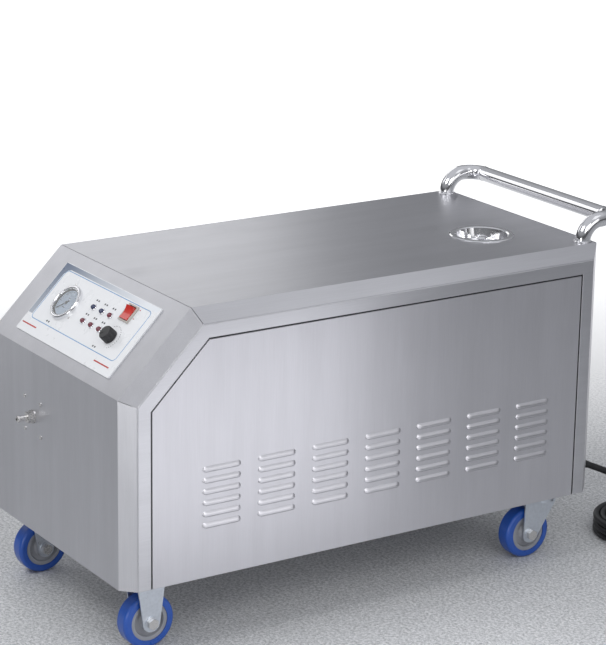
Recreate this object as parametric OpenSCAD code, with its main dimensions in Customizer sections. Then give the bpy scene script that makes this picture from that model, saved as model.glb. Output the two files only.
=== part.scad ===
// Commercial steam cleaner: a wheeled steel cabinet with a boiler, a water tank and a control slope.
// Frame: X across, -Y towards the control panel, +Y towards the push handle, Z up from the floor.

/* [Cabinet] */
// Width across the side frames
body_w = 530; // [480:5:580]
// Length from the front face to the rear face
body_l = 1025; // [980:5:1080]
// Height of the cabinet above its base
body_h = 488; // [470:2:520]
// Floor to the bottom of the cabinet
body_z = 131; // [131:1:132]
// Leg of the 45 degree bevel along the side edges
bevel = 26; // [20:1:30]
// Run and drop of the 45 degree control slope
slope_run = 143; // [140:1:146]
// Thickness of the steel sheet
sheet = 2; // [1.5:0.5:2.5]
// Width of the flat side frame round the door
frame_w = 24; // [20:1:28]
// Gap round the side door
door_gap = 3; // [2:0.5:4]

/* [Louvres] */
// Columns of louvres on each door
louvre_cols = 7; // [1:1:7]
// Rows of louvres on each door
louvre_rows = 6; // [1:1:8]
// Length of one louvre
louvre_l = 77; // [60:1:90]
// Height of one louvre
louvre_h = 10; // [8:1:12]
// How far a louvre stands out
louvre_out = 4; // [3:0.5:5]
// Spacing of the columns
louvre_dy = 112.8; // [100:0.2:113]
// Spacing of the rows
louvre_dz = 20.7; // [18:0.1:22]
// Front face to the start of the first louvre
louvre_y = 152; // [140:1:155]
// Cabinet bottom to the middle of the top row
louvre_top = 202; // [190:1:220]

/* [Controls] */
// Width of the control plate
plate_w = 351; // [340:1:360]
// Height of the control plate along the slope
plate_u = 152; // [145:1:160]
// Thickness of the control plate
plate_t = 2.5; // [2:0.5:3]
// Radius of the gauge bezel
bezel_r = 35; // [33:0.5:37]
// Radius of the knob
knob_r = 14; // [12:0.5:16]
// Height of the knob
knob_h = 17.5; // [14:0.5:20]
// Full tilt of the rocker switch in degrees
rocker_tilt = 18; // [12:1:20]

/* [Steam outlet] */
// Reach of the steam outlet in front of the cabinet
outlet_reach = 33; // [30:1:36]
// Radius of the barrel that a steam hose slides over
nipple_r = 5; // [4.5:0.5:6]

/* [Filler] */
// Outer radius of the filler rim
fill_r = 62; // [60:1:66]

/* [Handle] */
// Radius of the handle tube
tube_r = 15; // [13:0.5:16]
// Wall of the handle tube
tube_wall = 2; // [1.5:0.5:3]
// Reach of the handle behind the cabinet
handle_reach = 68; // [60:1:80]
// Sideways place of each handle leg
leg_x = 219; // [200:1:220]

/* [Casters] */
// Radius of each wheel
wheel_r = 50; // [50:1:50]
// Width of each tyre
tyre_w = 33; // [28:1:34]
// Sideways place of each caster
caster_x = 203; // [190:1:203]
// Front face to the front axles
front_axle = 72; // [68:1:90]
// Front face to the swivel axes at the rear
rear_swivel = 945; // [930:1:950]
// Trail of the rear wheels
trail = 38; // [34:1:40]

/* [Cord] */
// Diameter of the mains cable
cord_d = 13; // [12:0.5:14]

/* [Hidden] */
$fn = 48;
e = 0.01;
big = 1500;
half_w = body_w / 2;
front_y = -(body_l + handle_reach - outlet_reach) / 2;
rear_y = front_y + body_l;
top_z = body_z + body_h;
slope_top_y = front_y + slope_run;
slope_low_z = top_z - slope_run;
slope_l = slope_run * sqrt(2);
// Sheets stop this far short of each other at a seam
seam = 0.5;
// The bevelled sheets end where the side frames start, behind a fine seam
skin_x = half_w - sheet;
frame_seam = 0.2;
tray_inset = 3;
tray_h = 22;
door_inset = bevel + frame_w + door_gap;
door_out = half_w - 0.4;
door_fold = 15;
fold_z = body_z + tray_h + 3;

// Places on the control slope: x across, u up the slope from the lower bend
plate_at = [0, slope_l / 2];
gauge_at = [-85, 108];
light_x0 = -3;
light_pitch = 30;
light_u = [124, 93];
rocker_at = [101, 143];
knob_at = [101, 91];
gauge_case_r = 30;
gauge_window_r = 28.5;
light_hole_r = 5.2;
pot_hole_r = 5.2;
rocker_frame_w = 33;
rocker_frame_u = 35;
rocker_w = 25;
rocker_u = 26;
rocker_pivot = 3;
pivot_r = 2;
// Turn from the top of a dial to its low end, lower left
zero_turn = 135;
// Radial clearance of a pin that turns in a hole
run_fit = 0.05;

outlet_x = -80;
outlet_z = body_z + 223;
outlet_hole_r = 9;
// Length of the bulkhead body behind the front face
outlet_in = 20;
screw_pitch = 62;

fill_x = 87;
fill_y = front_y + 869;
bowl_top_r = 51;
bowl_low_r = 43;
bowl_floor_z = top_z - 30;
neck_r = 21;
// Lip of the filler under the top sheet
fill_lip = 5;
// Reach of the plate under the top sheet that holds each handle leg
foot_reach = 20;

// The weld rings stand out this far from the tube
weld_out = 0.5;
bar_y = rear_y + handle_reach - tube_r - weld_out;
corner_r = 31;
leg_y = rear_y - tube_r - 3;
bend_r = bar_y - corner_r - leg_y;
bar_z = top_z - sheet + bend_r;

boiler_x = outlet_x;
boiler_z = 330;
boiler_r = 110;
boiler_y0 = -320;
boiler_y1 = 140;
// Top of the bosses on the boiler
boss_z = boiler_z + boiler_r + 12;

rail_h = 25;
plate_t3 = 3;
plate_bottom = body_z - plate_t3;
ear_in = 21;
ear_t = 3;
axle_r = 6;
bolt_r = 4;
bolt_hole_r = 4.4;
bolt_dx = 30;
bolt_dy = 40;
front_axle_y = front_y + front_axle;
swivel_y = front_y + rear_swivel;

gland_x = 190;
gland_z = 157;
gland_hole_r = 10;
boot_start = rear_y + 17;
boot_bend_r = 75;
boot_turn = 23;

coil_x = 232;
coil_y = 654;
// Middle of the innermost and outermost turns; the last turn to be laid rests on the inner ones
coil_r0 = 58.5;
coil_r1 = 97.5;
coil_top_r = 66.5;
coil_h = 3 * cord_d;
cord_exit = [gland_x, boot_start + boot_bend_r * sin(boot_turn),
    gland_z - boot_bend_r * (1 - cos(boot_turn))];
cord_route = [cord_exit, [190, 565, 140], [190, 588, 129], [188, 610, 117], [186, 632, 103], [184, 655, 88],
    [186, 676, 74], [195, 694, 61], [211, 708, 52], [229, 715, 47], [246, 715.5, 45.5], [262, 711, 45.5]];
tail_x = 139;
tail_route = [[tail_x, 652, 6.5], [tail_x, 672, 7], [tail_x, 692, 11], [tail_x, 712, 18], [tail_x, 730, 23],
    [tail_x, 746, 24], [tail_x, 760, 24]];
plug_y = 760;
plug_z = 24;

// ---- Helpers ----

// Side outline of the cabinet, set in by o from every edge but the base
function outline(o, base) = [
    [front_y + o, base], [rear_y - o, base], [rear_y - o, top_z - o],
    [slope_top_y + o * (sqrt(2) - 1), top_z - o],
    [front_y + o, slope_low_z - o * (sqrt(2) - 1)]];

// Extrudes a YZ outline along X, from x0 to x1
module across(x0, x1) {
    translate([x0, 0, 0]) rotate([90, 0, 90]) linear_extrude(x1 - x0) children();
}

// The bevelled cabinet block, set in by o
module block(o, base) {
    b = bevel - o * (2 - sqrt(2));
    w = half_w - o;
    intersection() {
        across(-w, w) polygon(outline(o, base));
        linear_extrude(big) polygon([
            [-w + b, front_y + o], [w - b, front_y + o], [w, front_y + o + b],
            [w, rear_y - o - b], [w - b, rear_y - o], [-w + b, rear_y - o],
            [-w, rear_y - o - b], [-w, front_y + o + b]]);
        translate([0, big / 2, 0]) rotate([90, 0, 0]) linear_extrude(big) polygon([
            [-w, 0], [w, 0], [w, top_z - o - b], [w - b, top_z - o],
            [-w + b, top_z - o], [-w, top_z - o - b]]);
        translate([0, front_y, slope_low_z]) rotate([135, 0, 0])
            linear_extrude(2 * big, center = true) polygon([
            [-w, -big], [w, -big], [w, -o - b], [w - b, -o], [-w + b, -o], [-w, -o - b]]);
    }
}

// The cabinet's skin inside a YZ region, without the side planes
module skin(region) {
    intersection() {
        difference() {
            block(0, body_z);
            block(sheet, body_z - 1);
        }
        across(-skin_x, skin_x) polygon(region);
    }
}

// Moves children to (x, u) on the slope, with Z along the slope's outward normal
module on_slope(at) {
    s = at[1] / sqrt(2);
    translate([at[0], front_y + s, slope_low_z + s]) rotate([45, 0, 0]) children();
}

// A cylinder along Y from y0 to y1
module rod_y(r, y0, y1) {
    translate([0, y0, 0]) rotate([-90, 0, 0]) cylinder(r = r, h = y1 - y0);
}

// A cylinder along X from x0 to x1
module rod_x(r, x0, x1) {
    translate([x0, 0, 0]) rotate([0, 90, 0]) cylinder(r = r, h = x1 - x0);
}

// A box from its low corner to its high corner
module box(lo, hi) {
    translate(lo) cube(hi - lo);
}

// A hexagonal bar along Y, measured across its flats
module hex_y(flats, y0, y1) {
    translate([0, y0, 0]) rotate([-90, 0, 0]) cylinder(r = flats / sqrt(3), h = y1 - y0, $fn = 6);
}

// A quarter bend of pipe radius r in the XY plane, from the +X side round to the +Y side
module quarter(r, bend) {
    rotate_extrude(angle = 90) translate([bend, 0]) circle(r);
}

// The same in the YZ plane, from the +Y side round to the +Z side, turned by a about X
module quarter_yz(r, bend, a) {
    rotate([a, 0, 0]) rotate([90, 0, 90]) quarter(r, bend);
}

function tangent_at(p, i) = let (n = len(p) - 1, d = p[min(i + 1, n)] - p[max(i - 1, 0)]) d / norm(d);

// A ring of points round a route point
function ring(p, i, r, sides) = let (
    t = tangent_at(p, i),
    a = cross(t, [0, 0, 1]), u = a / norm(a), v = cross(u, t)
) [for (k = [0:sides - 1]) p[i] + r * (cos(360 * k / sides) * u + sin(360 * k / sides) * v)];

// A round tube swept along a route as one polyhedron
module swept_tube(p, r, sides) {
    n = len(p);
    points = [for (i = [0:n - 1]) each ring(p, i, r, sides)];
    walls = [for (i = [0:n - 2], k = [0:sides - 1]) let (k2 = (k + 1) % sides)
        [i * sides + k, i * sides + k2, (i + 1) * sides + k2, (i + 1) * sides + k]];
    first = [for (k = [sides - 1:-1:0]) k];
    last = [for (k = [0:sides - 1]) (n - 1) * sides + k];
    polyhedron(points, concat([first], walls, [last]));
}

// ---- Cabinet ----

module base_tray() color("dimgray") difference() {
    union() {
        intersection() {
            difference() {
                block(tray_inset, body_z);
                block(tray_inset + sheet, body_z - 1);
            }
            box([-half_w, front_y, body_z], [half_w, rear_y, body_z + tray_h]);
        }
        intersection() {
            block(tray_inset, body_z);
            box([-half_w, front_y, body_z], [half_w, rear_y, body_z + plate_t3]);
        }
    }
    bolt_holes(bolt_hole_r);
    translate([gland_x, 0, gland_z]) rod_y(gland_hole_r + 2, rear_y - 20, rear_y);
}

// Two channels along the cabinet with three cross members and two boiler saddles
module chassis_rails() color("gray") difference() {
    z0 = body_z + plate_t3;
    rail_w = 82;
    wall = 2.5;
    union() {
        for (s = [-1, 1]) translate([s * caster_x, 0, 0]) difference() {
            box([-rail_w / 2, front_y + 20, z0], [rail_w / 2, rear_y - 20, z0 + rail_h]);
            box([-rail_w / 2 + wall, front_y, z0 + wall], [rail_w / 2 - wall, rear_y, z0 + rail_h + 1]);
        }
        for (y = [front_y + 100, -20, rear_y - 120]) difference() {
            box([-caster_x + rail_w / 2, y, z0], [caster_x - rail_w / 2, y + 40, z0 + rail_h]);
            box([-caster_x, y + wall, z0 + wall], [caster_x, y + 40 - wall, z0 + rail_h - wall]);
        }
        for (y = [-300, 100]) {
            box([boiler_x - 100, y, z0 + rail_h], [boiler_x + 100, y + 8, boiler_z - 40]);
            box([-225, y - 20, z0 + rail_h - e], [200, y + 28, z0 + rail_h + 4]);
        }
    }
    bolt_holes(bolt_hole_r);
    translate([boiler_x, 0, boiler_z]) rod_y(boiler_r, boiler_y0, boiler_y1);
}

// The front face and the control slope, bent from one sheet
module front_panel() color("lightsteelblue") difference() {
    skin([[front_y - 1, body_z], [front_y + bevel + 10, body_z], [front_y + bevel + 10, slope_low_z - 60],
        [slope_top_y + 24 - seam, top_z - 58], [slope_top_y - seam / 2, top_z],
        [slope_top_y - seam - 12, top_z + 30], [front_y - 1, top_z + 30]]);
    on_slope(gauge_at) cylinder(r = gauge_case_r + 0.5, h = 20, center = true);
    on_slope(knob_at) cylinder(r = pot_hole_r, h = 20, center = true);
    for (i = [0:5]) on_slope(light_at(i)) cylinder(r = light_hole_r, h = 20, center = true);
    on_slope(rocker_at) cube([rocker_frame_w - 3, rocker_frame_u - 3, 20], center = true);
    translate([outlet_x, 0, outlet_z]) rod_y(outlet_hole_r, front_y - 5, front_y + 10);
    at_outlet_screws() rod_y(2.2, front_y - 5, front_y + 10);
    // Mitre slits where the bevelled flanges meet at the bend
    for (s = [-1, 1]) translate([s * (half_w - bevel / 2), front_y, slope_low_z]) rotate([-22.5, 0, 0])
        cube([bevel + 2, 40, 0.8], center = true);
}

module top_cover() color("slategray") difference() {
    skin([[slope_top_y + seam / 2, top_z + 1], [slope_top_y + 24 + seam, top_z - 58],
        [rear_y - 60, top_z - 60 + seam], [rear_y + 1 - seam, top_z + 1]]);
    translate([fill_x, fill_y, top_z - 40]) cylinder(r = fill_r + 0.2, h = 60);
    for (s = [-1, 1]) translate([s * leg_x, leg_y, top_z - 20]) cylinder(r = tube_r + 0.4, h = 40);
}

module rear_panel() color("slategray") difference() {
    skin([[rear_y + 1, body_z], [rear_y + 1, top_z + 1 - seam], [rear_y - 60 + seam, top_z - 60],
        [rear_y - bevel - 10, body_z]]);
    translate([gland_x, 0, gland_z]) rod_y(gland_hole_r, rear_y - 20, rear_y + 5);
}

// The flat frame round the right-hand door, with a fold behind its opening
module side_frame_right() color("lightgray") {
    open_inset = bevel + frame_w;
    difference() {
        intersection() {
            block(0, body_z);
            box([skin_x + frame_seam, front_y, body_z], [half_w, rear_y, top_z]);
        }
        across(skin_x - 5, half_w + 5) polygon(outline(open_inset, body_z - 5));
    }
    difference() {
        across(half_w - sheet - door_fold - 3, skin_x + frame_seam + e)
            polygon(outline(open_inset - sheet, fold_z));
        across(half_w - 60, half_w) polygon(outline(open_inset, fold_z - 5));
    }
}

// The louvred service door on the right-hand side
module side_door_right() color("lavender") difference() {
    louvre_y0 = front_y + louvre_y + louvre_l / 2;
    louvre_z0 = body_z + louvre_top;
    union() {
        across(door_out - sheet, door_out) polygon(outline(door_inset, body_z));
        difference() {
            across(door_out - sheet - door_fold, door_out - sheet + e) polygon(outline(door_inset, fold_z));
            across(door_out - 60, door_out) polygon(outline(door_inset + sheet, fold_z + sheet));
        }
        for (i = [0:louvre_cols - 1], j = [0:louvre_rows - 1])
            translate([door_out - e, louvre_y0 + i * louvre_dy, louvre_z0 - j * louvre_dz]) louvre_hood();
    }
    for (i = [0:louvre_cols - 1], j = [0:louvre_rows - 1])
        translate([door_out, louvre_y0 + i * louvre_dy, louvre_z0 - j * louvre_dz]) louvre_throat();
}

// A raised hood with round ends
module louvre_hood() {
    run = louvre_l - louvre_h;
    rotate([90, 0, 90]) linear_extrude(louvre_out + e) {
        square([run, louvre_h], center = true);
        for (s = [-1, 1]) translate([s * run / 2, 0]) circle(louvre_h / 2);
    }
}

// The slot behind a hood and its mouth along the lower edge
module louvre_throat() {
    run = louvre_l - louvre_h - 4;
    box([-10, -run / 2, -louvre_h / 2 + 1.5], [louvre_out - 1.5, run / 2, louvre_h / 2 - 1.5]);
    box([0.6, -run / 2, -louvre_h], [louvre_out - 1.5, run / 2, 0]);
}

// ---- Control slope ----

function light_at(i) = [light_x0 + (i % 3) * light_pitch, light_u[floor(i / 3)]];

module control_plate() color("white") difference() {
    r = 4;
    on_slope(plate_at) linear_extrude(plate_t) {
        square([plate_w - 2 * r, plate_u], center = true);
        square([plate_w, plate_u - 2 * r], center = true);
        for (sx = [-1, 1], sy = [-1, 1])
            translate([sx * (plate_w / 2 - r), sy * (plate_u / 2 - r)]) circle(r);
    }
    on_slope(gauge_at) cylinder(r = gauge_case_r + 0.5, h = 20, center = true);
    on_slope(knob_at) cylinder(r = pot_hole_r, h = 20, center = true);
    for (i = [0:5]) on_slope(light_at(i)) cylinder(r = light_hole_r, h = 20, center = true);
    on_slope(rocker_at) cube([rocker_frame_w - 3, rocker_frame_u - 3, 20], center = true);
}

module gauge_case() color("gainsboro") on_slope(gauge_at) difference() {
    union() {
        translate([0, 0, -30]) cylinder(r = gauge_case_r, h = 34);
        rotate_extrude() polygon([[0, plate_t], [bezel_r, plate_t], [bezel_r, plate_t + 3.5],
            [bezel_r - 1.5, plate_t + 5.5], [bezel_r - 4, plate_t + 6.3], [0, plate_t + 6.3]]);
        translate([0, 0, -52]) cylinder(r = 6, h = 24);
        translate([0, 0, -46]) cylinder(r = 8, h = 8, $fn = 6);
    }
    translate([0, 0, 3]) cylinder(r = gauge_window_r, h = 10);
    translate([0, 0, 7.4]) cylinder(r = gauge_case_r + 0.2, h = 10);
    translate([0, 0, -4]) cylinder(r = 1.2 + run_fit, h = 10);
}

module gauge_dial() color("aliceblue") on_slope(gauge_at) difference() {
    translate([0, 0, 3]) cylinder(r = gauge_window_r - 0.1, h = 0.8);
    cylinder(r = 1.8, h = 10);
}

// The pointer rests at the zero mark, lower left
module gauge_needle() color("black") on_slope(gauge_at) rotate([0, 0, zero_turn]) {
    translate([0, 0, -2]) cylinder(r = 1.2, h = 7.2);
    translate([0, 0, 4.4]) cylinder(r = 2.6, h = 1.6);
    translate([0, 0, 4.8]) linear_extrude(0.7)
        polygon([[-1.6, -8], [1.6, -8], [1.1, 0], [0.3, 23], [-0.3, 23], [-1.1, 0]]);
}

module gauge_glass() color("lightcyan") on_slope(gauge_at)
    translate([0, 0, 7.4]) cylinder(r = gauge_case_r + 0.1, h = 1.2);

// A chromed bezel with a raised lens and a threaded body behind the plate
module pilot_light(i) color("darkslategray") on_slope(light_at(i)) {
    translate([0, 0, -20]) cylinder(r = light_hole_r - 0.2, h = 20 + plate_t + e);
    translate([0, 0, plate_t]) rotate_extrude()
        polygon([[0, 0], [7, 0], [7, 0.8], [6, 2], [4.6, 2], [4.6, 6], [3.8, 6.8], [0, 7]]);
}

module rocker_frame() color("beige") on_slope(rocker_at) difference() {
    union() {
        translate([0, 0, plate_t + 1.75]) cube([rocker_frame_w, rocker_frame_u, 3.5], center = true);
        translate([0, 0, -10])
            cube([rocker_frame_w - 4, rocker_frame_u - 4, 20 + 2 * plate_t + e], center = true);
    }
    translate([0, 0, 5]) cube([rocker_w + 0.8, rocker_u + 3.4, 24], center = true);
    translate([0, 0, rocker_pivot]) rod_x(pivot_r + run_fit, -rocker_w / 2 - 1.4, rocker_w / 2 + 1.4);
}

// The paddle rests with its lower half pressed in
module rocker() color("red") on_slope(rocker_at)
translate([0, 0, rocker_pivot]) rotate([rocker_tilt / 2, 0, 0]) {
    h = rocker_u / 2;
    rotate([90, 0, 90]) linear_extrude(rocker_w, center = true)
        polygon([[-h, 0], [-h + 5, -5], [h - 5, -5], [h, 0], [h, 7],
            [h / 2, 5], [0, 4.2], [-h / 2, 5], [-h, 7]]);
    rod_x(pivot_r, -rocker_w / 2 - 1.2, rocker_w / 2 + 1.2);
}

module knob() color("black") on_slope(knob_at) difference() {
    union() {
        translate([0, 0, plate_t + 0.6]) rotate_extrude()
            polygon([[0, 0], [knob_r, 0], [knob_r, 2], [knob_r - 0.6, knob_h - 2.4],
            [knob_r - 2.2, knob_h - 0.6], [0, knob_h - 0.6]]);
        translate([0, 0, -10]) cylinder(r = 3, h = 20);
    }
    // Grip flutes round the side
    for (a = [15:30:345]) rotate([0, 0, a]) translate([knob_r + 1.6, 0, plate_t + 4])
        cylinder(r = 2.6, h = knob_h);
    // Pointer groove on the top, at the low end of its travel
    rotate([0, 0, zero_turn]) translate([-0.8, 3, plate_t + knob_h - 1]) cube([1.6, knob_r, 5]);
}

module potentiometer() color("silver") on_slope(knob_at) difference() {
    union() {
        translate([0, 0, -26]) cylinder(r = 12, h = 16);
        translate([0, 0, -10 - e]) cylinder(r = pot_hole_r - 0.2, h = 12 + e);
        translate([0, 0, -sheet - 3]) cylinder(r = 7, h = 3, $fn = 6);
    }
    translate([0, 0, -10.5]) cylinder(r = 3 + run_fit, h = 40);
}

// ---- Steam outlet ----

module at_outlet_screws() {
    for (sx = [-1, 1], sz = [-1, 1])
        translate([outlet_x + sx * screw_pitch / 2, 0, outlet_z + sz * screw_pitch / 2]) children();
}

// Bulkhead body with an outer and an inner lock nut
module outlet_body() color("silver") translate([outlet_x, 0, outlet_z]) difference() {
    union() {
        rod_y(outlet_hole_r - 0.2, front_y - 4, front_y + outlet_in);
        rod_y(12.5, front_y - 1.5, front_y);
        hex_y(22, front_y - 6, front_y - 1.5);
        hex_y(19, front_y - 13, front_y - 6);
        hex_y(24, front_y + sheet, front_y + sheet + 6);
    }
    rod_y(4, front_y - 20, front_y + 30);
}

// The hose end: a plain barrel with a rounded bead at its mouth
module outlet_nipple() color("silver") translate([outlet_x, 0, outlet_z]) difference() {
    union() {
        rod_y(3.9, front_y - 14, front_y - 6);
        rod_y(nipple_r, front_y - outlet_reach + 6, front_y - 13);
        translate([0, front_y - outlet_reach + 6, 0]) rotate([90, 0, 0]) rotate_extrude()
            polygon([[0, 0], [nipple_r, 0], [nipple_r + 1, 1], [nipple_r + 1.3, 3],
            [nipple_r + 0.6, 5], [nipple_r - 1, 6], [0, 6]]);
    }
    rod_y(2.5, front_y - outlet_reach - 1, front_y);
}

module outlet_screws() color("silver") at_outlet_screws() {
    rod_y(3.8, front_y - 1.6, front_y);
    rod_y(2, front_y - e, front_y + 10);
}

// From the boiler's top boss forward and down to the outlet
module steam_pipe() color("peru") translate([outlet_x, 0, 0]) {
    r = 6;
    bend = 25;
    back_y = front_y + 80;
    high_z = 485;
    boss_y = -270;
    translate([0, 0, outlet_z]) rod_y(r, front_y + outlet_in, back_y - bend);
    translate([0, back_y - bend, outlet_z + bend]) quarter_yz(r, bend, 270);
    translate([0, back_y, outlet_z + bend]) cylinder(r = r, h = high_z - outlet_z - 2 * bend);
    translate([0, back_y + bend, high_z - bend]) quarter_yz(r, bend, 90);
    translate([0, 0, high_z]) rod_y(r, back_y + bend, boss_y - bend);
    translate([0, boss_y - bend, high_z - bend]) quarter_yz(r, bend, 0);
    translate([0, boss_y, boss_z]) cylinder(r = r, h = high_z - bend - boss_z + e);
}

// ---- Filler and tank ----

// The rim stands through the top sheet and its lip is welded under it
module fill_flange() color("silver") translate([fill_x, fill_y, 0]) rotate_extrude() polygon([
    [neck_r - 1.5, bowl_floor_z - 1.5], [bowl_low_r, bowl_floor_z - 1.5],
    [bowl_top_r, top_z - sheet - 1.5], [fill_r + fill_lip, top_z - sheet - 1.5],
    [fill_r + fill_lip, top_z - sheet], [fill_r, top_z - sheet], [fill_r, top_z + 1],
    [fill_r - 2, top_z + 2.5], [bowl_top_r + 1, top_z + 2.5], [bowl_top_r - 2.2, top_z + 1],
    [bowl_low_r - 1.6, bowl_floor_z], [neck_r - 1.5, bowl_floor_z]]);

// Pipe from the bowl down into the tank's mouth
module fill_neck() color("silver") translate([fill_x, fill_y, 0]) difference() {
    translate([0, 0, 545]) cylinder(r = neck_r, h = bowl_floor_z - 1.5 - 545);
    translate([0, 0, 540]) cylinder(r = neck_r - 1.5, h = 60);
}

// Lift-out strainer basket with a mushroom knob
module fill_basket() color("silver") translate([fill_x, fill_y, bowl_floor_z]) difference() {
    union() {
        rotate_extrude() polygon([[0, 0], [20, 0], [30, 4], [37, 12], [40.6, 13], [40.6, 14.2], [36, 14.2],
            [28.6, 5.4], [19.6, 1.4], [0, 1.4]]);
        cylinder(r = 3, h = 21);
        translate([0, 0, 19]) rotate_extrude()
            polygon([[0, 0], [5, 0], [9.5, 3], [9.5, 5], [6, 7.5], [0, 8.5]]);
        translate([0, 0, -12]) cylinder(r = 17, h = 12 + e);
    }
    for (a = [0:45:315]) rotate([0, 0, a]) {
        translate([12, 0, -20]) cylinder(r = 2.2, h = 40);
        translate([24.5, 0, -20]) cylinder(r = 2.2, h = 40);
    }
}

module water_tank() color("lightblue") {
    lo = [-20, 235, 300];
    hi = [205, 445, 540];
    wall = 2;
    difference() {
        union() {
            box(lo, hi);
            translate([fill_x, fill_y, hi[2] - e]) cylinder(r = neck_r + 4, h = 14);
        }
        box(lo + [wall, wall, wall], hi - [wall, wall, wall]);
        translate([fill_x, fill_y, hi[2] - 10]) cylinder(r = neck_r + 1, h = 40);
    }
    // Four legs down to the rails and the cross member
    for (x = [175, 195], y = [lo[1], hi[1] - 20]) box([x, y, body_z + 5.5], [x + 10, y + 20, lo[2] + e]);
    for (x = [lo[0], lo[0] + 30], y = [375, 395]) box([x, y, body_z + 28], [x + 10, y + 20, lo[2] + e]);
}

// ---- Boiler and services ----

module boiler() color("silver") translate([boiler_x, 0, boiler_z]) difference() {
    dome = 30;
    union() {
        rod_y(boiler_r, boiler_y0, boiler_y1);
        rod_y(boiler_r - 30, boiler_y0 - dome, boiler_y0 + e);
        rod_y(60, boiler_y1 - e, boiler_y1 + 12);
        for (y = [-270, -120]) translate([0, y, 0]) cylinder(r = 12, h = boss_z - boiler_z);
    }
    rod_y(boiler_r - 4, boiler_y0 + 4, boiler_y1 - 4);
    rod_y(40, boiler_y1 - 10, boiler_y1 + 20);
}

// Flange, terminal cap and three U-shaped elements
module heater() color("dimgray") translate([boiler_x, 0, boiler_z]) {
    y1 = boiler_y1 + 12;
    rod_y(58, y1, y1 + 10);
    rod_y(44, y1 + 10 - e, y1 + 50);
    rod_y(39, y1 - 20, y1 + e);
    for (a = [0, 120, 240]) rotate([0, a, 0]) {
        for (s = [-1, 1]) translate([s * 9, 0, 20]) rod_y(5, boiler_y0 + 60, y1 - 20 + e);
        translate([0, boiler_y0 + 60, 20]) rotate([180, 0, 0])
            rotate_extrude(angle = 180) translate([9, 0]) circle(5);
    }
}

module feed_pump() color("darkgreen") translate([120, 0, 0]) {
    z0 = body_z + plate_t3 + rail_h;
    box([-75, -250, z0], [75, -20, z0 + 4]);
    box([-35, -235, z0 + 4 - e], [35, -180, z0 + 75]);
    translate([0, 0, z0 + 54]) rod_y(48, -180 - e, -40);
    translate([0, 0, z0 + 54]) rod_y(44, -40 - e, -28);
    translate([0, -208, z0 + 75 - e]) cylinder(r = 9, h = 20);
}

module safety_valve() color("goldenrod") translate([boiler_x, -120, boss_z]) {
    cylinder(r = 10, h = 10, $fn = 6);
    translate([0, 0, 10 - e]) cylinder(r = 8, h = 26);
    translate([0, 0, 36 - 2 * e]) cylinder(r = 10, h = 8);
    translate([0, 0, 16]) rod_x(5, 0, 24);
}

module electrics_box() color("whitesmoke") {
    lo = [80, -330, 300];
    hi = [225, -130, 430];
    box(lo, hi);
    box(lo + [10, 10, 130 - e], [hi[0] - 10, hi[1] - 10, hi[2] + 12]);
    for (x = [205, 212], y = [lo[1], hi[1] - 20]) box([x, y, body_z + 5.5], [x + 6, y + 20, lo[2] + e]);
}

// ---- Handle ----

// A ring round the handle tube, standing out from it
module tube_ring(h, out) {
    difference() {
        cylinder(r = tube_r + out, h = h, center = true);
        cylinder(r = tube_r - tube_wall / 2, h = 2 * h, center = true);
    }
}

// A quarter bend of the handle tube in the XY plane, from the +X side round to the +Y side
module tube_bend(bend) {
    rotate_extrude(angle = 90) translate([bend, 0]) difference() {
        circle(tube_r);
        circle(tube_r - tube_wall);
    }
}

// One end of the handle: the foot plate under the top sheet, two bends and a weld ring
module handle_end() {
    translate([leg_x, leg_y + bend_r, top_z - sheet])
        rotate([90, 0, 0]) rotate([90, 0, 90]) tube_bend(bend_r);
    translate([leg_x - corner_r, bar_y - corner_r, bar_z]) tube_bend(corner_r);
    box([leg_x - foot_reach, leg_y - foot_reach, top_z - sheet - 3],
        [leg_x + tube_r + 2, rear_y - sheet - 0.5, top_z - sheet]);
    translate([leg_x - corner_r, bar_y, bar_z]) rotate([0, 90, 0]) tube_ring(3, weld_out);
}

module handle() color("silver") {
    handle_end();
    mirror([1, 0, 0]) handle_end();
    translate([0, bar_y, bar_z]) difference() {
        rod_x(tube_r, corner_r - leg_x, leg_x - corner_r);
        rod_x(tube_r - tube_wall, -leg_x, leg_x);
    }
}

// ---- Casters ----

// The four bolt places of every caster plate
module bolt_places() {
    for (sx = [-1, 1], y = [front_axle_y, swivel_y], bx = [-1, 1], by = [-1, 1])
        translate([sx * caster_x + bx * bolt_dx, y + by * bolt_dy, 0]) children();
}

module bolt_holes(r) {
    bolt_places() translate([0, 0, plate_bottom - 5]) cylinder(r = r, h = 40);
}

module caster_bolts() color("lightgray") bolt_places() {
    translate([0, 0, plate_bottom - 5]) cylinder(r = 7.5, h = 5, $fn = 6);
    translate([0, 0, plate_bottom - 1]) cylinder(r = bolt_r, h = 22);
    translate([0, 0, body_z + plate_t3 + 2.5]) cylinder(r = 7.5, h = 6.5, $fn = 6);
}

module mount_plate() difference() {
    translate([-40, -50, plate_bottom]) cube([80, 100, plate_t3]);
    for (bx = [-1, 1], by = [-1, 1]) translate([bx * bolt_dx, by * bolt_dy, plate_bottom - 5])
        cylinder(r = bolt_hole_r, h = 20);
}

// Outline of a fork ear: from a top edge y0 to y1 at height z, down to a round end at (at_y, wheel_r)
module ear_outline(y0, y1, z, at_y, r) {
    h = z - wheel_r;
    a0 = atan2(h, y0 - at_y) + acos(r / norm([y0 - at_y, h]));
    a1 = atan2(h, y1 - at_y) - acos(r / norm([y1 - at_y, h]));
    translate([at_y, wheel_r]) {
        circle(r);
        polygon([[y1 - at_y, h], [y0 - at_y, h], r * [cos(a0), sin(a0)], [0, 0], r * [cos(a1), sin(a1)]]);
    }
}

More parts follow.
